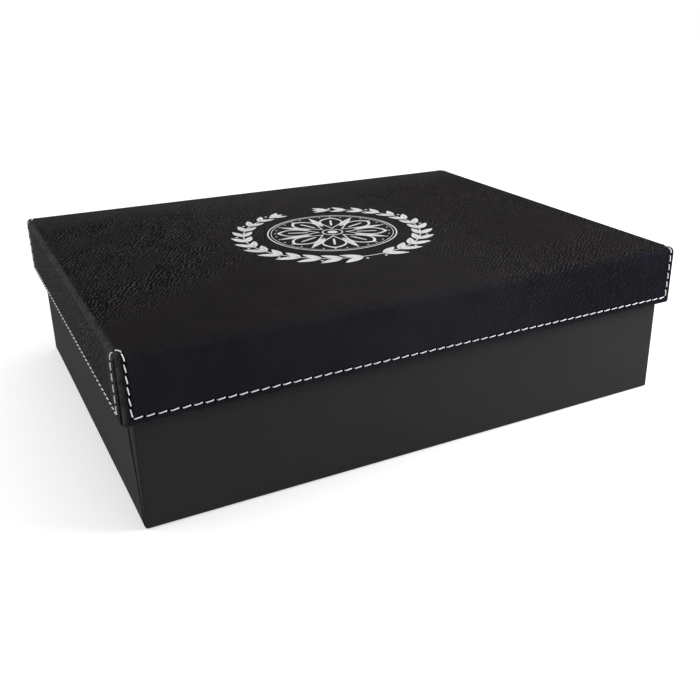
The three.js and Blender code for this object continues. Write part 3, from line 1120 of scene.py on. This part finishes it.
def leatherette():
    """Black leatherette whose pebbled grain runs in slanting rows and fades in patches. Its colour
    holds painted shade in the creases, needle holes, thread bed and seam, painted highlights on the
    pebbles, corners and lip, a painted sheen towards the back, and a painted cool light on the front.
    """
    material, tree = surface("leatherette")
    dark, light = grey(0.0107, (1.07, 0.92, 0.98)), grey(0.0138, (1.08, 0.92, 0.97))
    # The creases' near-black is painted shade and the pebbles' pale tone a painted highlight, in place
    # of light on the grain's relief.
    crease_painted_shade, pebble = grey(0.0005, (1.06, 0.93, 0.98)), grey(0.075, (1.08, 0.94, 0.97))
    # A painted cool light on the front face, which turns to painted shade towards its right end.
    front_painted_cool_light, front_right_painted_shade = (1.05, 1.12, 1.42, 1), (0.66, 0.72, 0.99, 1)
    grain = pebbles(tree)
    strength, dull_and_painted_sheen = grain_zones(tree)
    wear_and_highlight = attribute(tree, "wear_and_highlight")
    mottle = full(speckle(place(tree), 55.0, 4.0))
    # Darker where the leatherette is dullest; the lighter colour towards the back is a painted sheen.
    plain = blended(times(dull_and_painted_sheen, 0.3), blended(mottle, dark, light), grey(0.004))
    body = blended(strength, plain, blended(grain, crease_painted_shade, pebble))
    # Lighter in blotches along the bends and near the short sides' ends, and a painted highlight on the
    # vertical corners and the lip.
    blotches = ranged(speckle(place(tree), 300.0), 0.38, 0.6, 0.45, 1.3)
    rubbed_and_highlit = blended(times(wear_and_highlight, blotches), body, grey(0.05, (1.04, 0.96, 0.98)))
    x, y, _ = axes(tree)
    # The front face, away from the lighter bends and corners, takes the painted cool light and the
    # painted shade.
    front = times(ranged(y, -0.121, -0.1165, 1, 0), calc("SUBTRACT", 1.0, wear_and_highlight))
    tint = blended(ranged(x, -0.02, 0.12, 0, 1), front_painted_cool_light, front_right_painted_shade)
    with_painted_front_light = blended(front, rubbed_and_highlit, tint, "MULTIPLY")
    # Painted shade in the needle holes, the thread's bed and the open seam.
    colour = blended(attribute(tree, "hole"), with_painted_front_light, grey(0.0015))
    relief = times(grain, strength)
    height = plus(relief, times(speckle(place(tree), 2600.0), 0.2))
    roughness = ranged(relief, 0, 1, 0.88, 0.76)
    lustre = ranged(dull_and_painted_sheen, 0, 1, 0.065, 0.02)
    return finished(material, colour, roughness, height, 0.35, lustre)


def thread():
    """Spun white thread: soft, a little uneven, and with fine fibres."""
    material, tree = surface("thread")
    tone = full(speckle(place(tree), 700.0))
    colour = blended(tone, grey(0.72, (1, 0.995, 0.98)), grey(0.88, (1, 0.995, 0.985)))
    fibres = speckle(place(tree, turn=(20, 30, 40)), 5200.0, 4.0, 0.7)
    roughness = ranged(fibres, 0.3, 0.7, 0.7, 0.9)
    shade(material, {"Sheen Weight": 0.2})
    return finished(material, colour, roughness, fibres, 0.05, 0.3)


def black_paper():
    """Smooth matt wrapping paper with faint fibres, and painted shade on a seam's strip and at its cut
    edge.
    """
    material, tree = surface("black_paper")
    fibres = speckle(place(tree, (1, 1, 4)), 1500.0, 4.0, 0.65)
    cloud = speckle(place(tree), 22.0, 4.0)
    base = blended(full(cloud), grey(0.0195), grey(0.0235))
    flecked = blended(ranged(fibres, 0.5, 0.75, 0, 1), base, grey(0.027))
    # Painted shade darkens the strip that comes round from the long side.
    on_strip = attribute(tree, "strip")
    strip_painted_shade = blended(times(on_strip, 0.2), flecked, grey(0.016))
    # Painted shade in the seam's gap, at the cut edge.
    colour = blended(attribute(tree, "hole"), strip_painted_shade, grey(0.003))
    roughness = ranged(cloud, 0.3, 0.7, 0.82, 0.9)
    lustre = ranged(on_strip, 0, 1, 0.08, 0.06)
    return finished(material, colour, roughness, fibres, 0.02, lustre)


def plain_sheet(name, low, high, tint, scale, stretch, bump, roughness=(0.8, 0.95)):
    """Paper, tape or board for CAD nodes, whose meshes hold no attributes."""
    material, tree = surface(name)
    fibres = speckle(place(tree, stretch, (12, 8, 20)), scale, 4.0, 0.7)
    cloud = speckle(place(tree), 30.0)
    mixed = plus(times(fibres, 0.6), times(cloud, 0.4))
    colour = blended(ranged(mixed, 0.38, 0.62, 0, 1), grey(low, tint), grey(high, tint))
    rough = ranged(cloud, 0.3, 0.7, *roughness)
    return finished(material, colour, rough, fibres, bump, 0.3)


def print_foil():
    """The pale grey print: even, with tiny breaks where the grain keeps it off."""
    material, tree = surface("print_foil")
    breaks = speckle(place(tree), 1500.0)
    cloud = speckle(place(tree), 60.0)
    base = blended(full(cloud), grey(0.56), grey(0.66))
    colour = blended(ranged(breaks, 0.64, 0.72, 0, 0.7), base, grey(0.12))
    roughness = ranged(breaks, 0.3, 0.7, 0.5, 0.62)
    return finished(material, colour, roughness, breaks, 0.03, 0.3)


# Scene round the box


def seen_ray(tree):
    """1 for rays from the camera, a reflection or a view through something clear."""
    rays = tree.nodes.new("ShaderNodeLightPath").outputs
    direct = larger(rays["Is Camera Ray"], rays["Is Glossy Ray"])
    return larger(direct, rays["Is Transmission Ray"])


def build_world():
    """Surroundings that look white and light the box at about half of that strength."""
    world = bpy.data.worlds.new("studio")
    bpy.context.scene.world = world
    world.use_nodes = True
    tree = world.node_tree
    background = tree.nodes["Background"]
    fill(background.inputs["Color"], (1, 1, 1, 1))
    fill(background.inputs["Strength"], ranged(seen_ray(tree), 0, 1, 0.55, 1.0))


def build_floor():
    """A plain pale floor that keeps the box's shadow and glows more further out."""
    corners = [(x * FLOOR_HALF, y * FLOOR_HALF, 0) for x, y in ((-1, -1), (1, -1), (1, 1), (-1, 1))]
    floor = mesh_piece("floor", corners, [[0, 1, 2, 3]])
    material, tree = surface("floor")
    plain = {"Base Color": grey(0.8), "Roughness": 1.0, "Specular IOR Level": 0.0}
    from_middle = vector_calc("LENGTH", place(tree))["Value"]
    glow = times(seen_ray(tree), ranged(from_middle, 0.3, 1.4, 0.4, 0.75))
    glowing = {"Emission Color": (1, 1, 1, 1), "Emission Strength": glow}
    floor.data.materials.append(shade(material, {**plain, **glowing}))


def build_lamps():
    for name, place_mm, aim_mm, size, power, colour in LAMPS:
        data = bpy.data.lights.new(name, "AREA")
        data.shape = "SQUARE"
        data.size = size * MM
        data.energy = power
        data.color = colour
        light = add_object(name, data)
        light.location = Vector(place_mm) * MM
        direction = Vector(aim_mm) - Vector(place_mm)
        light.rotation_euler = direction.to_track_quat("-Z", "Y").to_euler()
        light.visible_camera = False


def build_camera():
    data = bpy.data.cameras.new("camera")
    data.sensor_width = 36.0
    data.lens = CAMERA_LENS
    data.shift_x, data.shift_y = CAMERA_SHIFT
    data.clip_start, data.clip_end = 0.01, 20.0
    camera = add_object("camera", data)
    camera.location = Vector(CAMERA_PLACE) * MM
    camera.rotation_euler = [radians(angle) for angle in CAMERA_TURN]
    bpy.context.scene.camera = camera


# Putting it together


def dress(piece, material, body, nodes=()):
    """Gives a piece its material and its body, and hides the CAD nodes that it stands for."""
    piece.data.materials.append(material)
    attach(piece, body)
    if nodes:
        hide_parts(*nodes)


def dress_cad_nodes():
    """Finishes for the boards, tapes and linings, whose CAD shapes stay in view."""
    board = plain_sheet("greyboard", 0.2, 0.3, (1, 0.97, 0.9), 500.0, (1, 1, 3), 0.06)
    tape = plain_sheet("corner_tape", 0.36, 0.5, (1, 0.74, 0.4), 800.0, (1, 1, 5), 0.02, (0.6, 0.75))
    lining = plain_sheet("lining_paper", 0.010, 0.014, (1, 1, 1.03), 1300.0, (1, 2.5, 1), 0.02)
    sheet = plain_sheet("bottom_sheet", 0.026, 0.031, (1, 1, 1), 1300.0, (2.5, 1, 1), 0.02, (0.7, 0.82))
    finishes = {"board": board, "tape": tape, "lining": lining, "card": lining, "sheet": sheet}
    for name, cad_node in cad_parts.items():
        for word, material in finishes.items():
            if word in name:
                cad_node.material_slots[0].material = material


def main():
    scene = bpy.context.scene
    scene.view_settings.view_transform = "Standard"
    build_camera()
    build_world()
    build_floor()
    build_lamps()
    stitched = stitches()
    dress(build_cover(stitched), leatherette(), "lid", ["lid_cover"])
    dress(build_stitches(stitched), thread(), "lid", ["lid_stitching"])
    dress(build_ornament(), print_foil(), "lid")
    dress(build_wrap(), black_paper(), "base", ["base_wrap"])
    dress_cad_nodes()


main()
